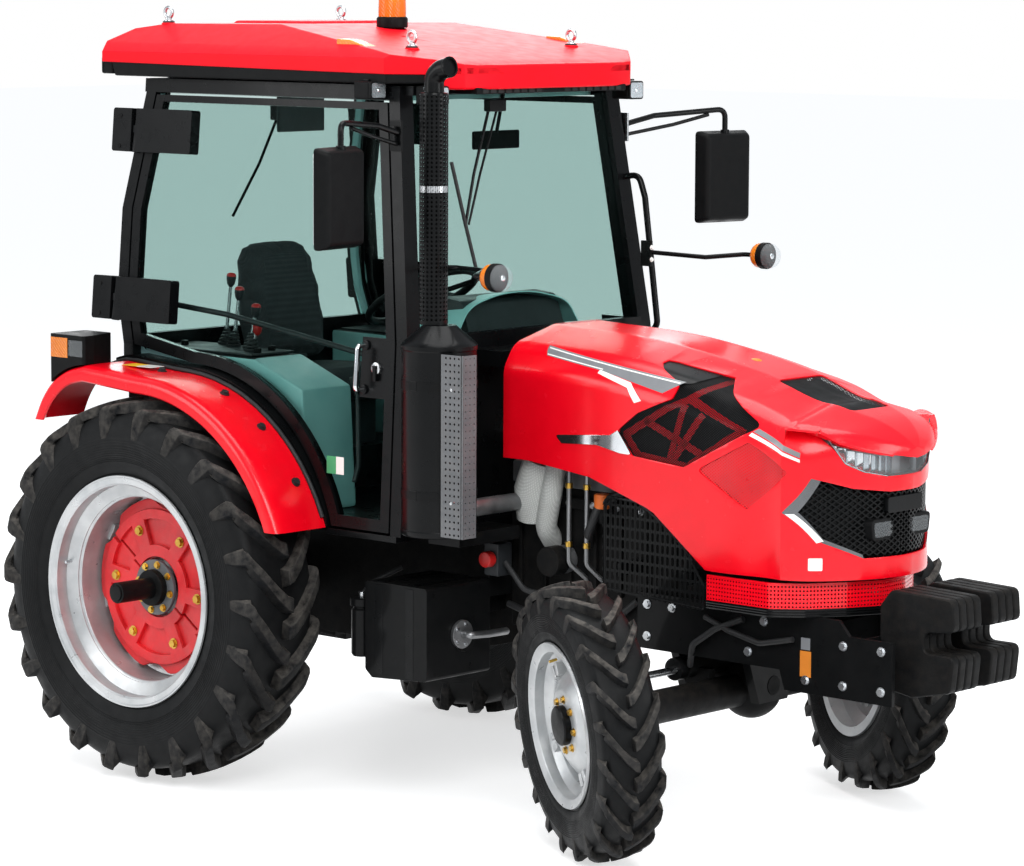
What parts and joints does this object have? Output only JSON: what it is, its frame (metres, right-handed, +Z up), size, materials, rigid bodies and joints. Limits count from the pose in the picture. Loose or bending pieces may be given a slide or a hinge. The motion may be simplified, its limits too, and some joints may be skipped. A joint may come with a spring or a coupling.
{
  "type": "compact farm tractor with cab",
  "caption": "Four-wheel-drive farm tractor: glazed two-door cab, tilting mesh-sided hood, upright exhaust, front weights, steered front wheels and a rear three-point hitch.",
  "frame": {"origin": "on the ground, under the middle of the whole machine's bounding box", "axes": "+X forward along the tractor, +Y to its left, +Z up"},
  "size_m": [3.6399, 2.0858, 2.586],
  "materials": {
    "red_paint": "glossy red enamel",
    "silver_paint": "silver-grey wheel paint",
    "chassis_grey": "satin dark blue-grey chassis paint",
    "cast_dark": "dark painted castings",
    "black_metal": "satin black sheet and tube",
    "screen_grey": "grey perforated sheet",
    "black_plastic": "grained black moulded plastic",
    "teal_plastic": "pale blue-green moulded cab lining",
    "seat_fabric": "black woven seat cover",
    "tyre_rubber": "black lugged farm tyre",
    "tinted_glass": "lightly green tinted cab glass",
    "clear_lens": "clear lamp lens",
    "amber_lens": "amber lamp lens",
    "bright_steel": "bare or zinc-plated steel"
  },
  "bodies": {
    "chassis": {"engine_block": "cast_dark", "radiator": "black_metal", "transmission_housing": "cast_dark", "rear_axle_housing": "cast_dark", "front_frame": "chassis_grey", "front_axle_beam": "cast_dark", "front_weights": "chassis_grey", "fuel_tank": "black_plastic", "step_and_battery_box": "black_metal", "muffler": "black_metal", "exhaust_stack": "black_metal", "heat_shield": "screen_grey", "air_cleaner": "black_plastic", "engine_screens": "black_metal", "nose_band": "red_paint", "cab_floor": "black_metal", "cab_frame": "black_metal", "cab_roof": "red_paint", "windshield": "tinted_glass", "rear_window": "tinted_glass", "rear_fenders": "red_paint", "side_consoles": "teal_plastic", "dash_console": "teal_plastic", "seat_base": "black_plastic", "seat_cushion": "seat_fabric", "seat_backrest": "seat_fabric", "control_levers": "black_plastic", "mirrors": "black_plastic", "grab_rails": "black_metal", "signal_lamps": "amber_lens", "work_lamps": "clear_lens", "beacon": "amber_lens", "lifting_eyes": "bright_steel", "drawbar": "chassis_grey", "pto_shaft": "bright_steel", "top_link": "chassis_grey"},
    "rear_wheel_right": {"rear_tyre_right": "tyre_rubber", "rear_rim_right": "silver_paint", "wheel_weight_right": "red_paint"},
    "rear_wheel_left": {"rear_tyre_left": "tyre_rubber", "rear_rim_left": "silver_paint", "wheel_weight_left": "red_paint"},
    "knuckle_right": {"knuckle_right": "cast_dark"},
    "knuckle_left": {"knuckle_left": "cast_dark"},
    "front_wheel_right": {"front_tyre_right": "tyre_rubber", "front_rim_right": "silver_paint"},
    "front_wheel_left": {"front_tyre_left": "tyre_rubber", "front_rim_left": "silver_paint"},
    "steering_rod": {"steering_rod": "bright_steel"},
    "door_right": {"door_frame_right": "black_metal", "door_glass_right": "tinted_glass"},
    "door_left": {"door_frame_left": "black_metal", "door_glass_left": "tinted_glass"},
    "hood": {"hood_shell": "red_paint", "hood_grilles": "screen_grey", "headlamps": "clear_lens"},
    "steering_wheel": {"steering_wheel": "black_plastic"},
    "lift_arms": {"lift_arms": "chassis_grey"},
    "lift_rods": {"lift_rods": "chassis_grey"},
    "lower_links": {"lower_links": "chassis_grey"}
  },
  "joints": [
    {"name": "rear_wheel_right", "type": "hinge", "parent": "chassis", "child": "rear_wheel_right", "pos_m": [-0.95, -0.762, 0.63], "axis": [0, 1, 0], "continuous": true},
    {"name": "rear_wheel_left", "type": "hinge", "parent": "chassis", "child": "rear_wheel_left", "pos_m": [-0.95, 0.762, 0.63], "axis": [0, 1, 0], "continuous": true},
    {"name": "steer_right", "type": "hinge", "parent": "chassis", "child": "knuckle_right", "pos_m": [0.885, -0.704, 0.42192], "axis": [0, 0, 1], "range_deg": [-13.5, 70.5]},
    {"name": "steer_left", "type": "hinge", "parent": "chassis", "child": "knuckle_left", "pos_m": [0.885, 0.704, 0.42192], "axis": [0, 0, 1], "range_deg": [-13.5, 70.5]},
    {"name": "steering_slide", "type": "slide", "parent": "chassis", "child": "steering_rod", "axis": [0, 1, 0], "range_m": [-0.09214, 0.01772]},
    {"name": "front_wheel_right", "type": "hinge", "parent": "knuckle_right", "child": "front_wheel_right", "pos_m": [0.87832, -0.7163, 0.42192], "axis": [0.475, 0.8748, 0.0958], "continuous": true},
    {"name": "front_wheel_left", "type": "hinge", "parent": "knuckle_left", "child": "front_wheel_left", "pos_m": [0.89168, 0.7163, 0.42192], "axis": [0.475, 0.8748, -0.0958], "continuous": true},
    {"name": "door_right", "type": "hinge", "parent": "chassis", "child": "door_right", "pos_m": [-1.29131, -0.62372, 1.55], "axis": [-0.0987, -0.0833, -0.9916], "range_deg": [0, 70]},
    {"name": "door_left", "type": "hinge", "parent": "chassis", "child": "door_left", "pos_m": [-1.29131, 0.62372, 1.55], "axis": [0.0987, -0.0833, 0.9916], "range_deg": [0, 70]},
    {"name": "hood_tilt", "type": "hinge", "parent": "chassis", "child": "hood", "pos_m": [0.225, 0, 1.47], "axis": [0, -1, 0], "range_deg": [0, 45]},
    {"name": "steering_wheel", "type": "hinge", "parent": "chassis", "child": "steering_wheel", "pos_m": [-0.48, 0, 1.57], "axis": [-0.4983, 0, 0.867], "continuous": true},
    {"name": "lift_arms", "type": "hinge", "parent": "chassis", "child": "lift_arms", "pos_m": [-1.1, 0, 0.79], "axis": [0, 1, 0], "range_deg": [-30, 25]},
    {"name": "lift_rods", "type": "hinge", "parent": "lift_arms", "child": "lift_rods", "pos_m": [-1.43, 0, 0.83], "axis": [0, 1, 0], "range_deg": [-25, 30]},
    {"name": "lower_links", "type": "hinge", "parent": "chassis", "child": "lower_links", "pos_m": [-1.01, 0, 0.43], "axis": [0, 1, 0], "range_deg": [-23.7, 19.75]}
  ],
  "couplings": [
    {"joint": "steer_left", "follows": "steer_right", "ratio": 1},
    {"joint": "steering_slide", "follows": "steer_right", "m_per_rad": -0.0748},
    {"joint": "lift_rods", "follows": "lift_arms", "ratio": -1},
    {"joint": "lower_links", "follows": "lift_arms", "ratio": 0.786}
  ]
}
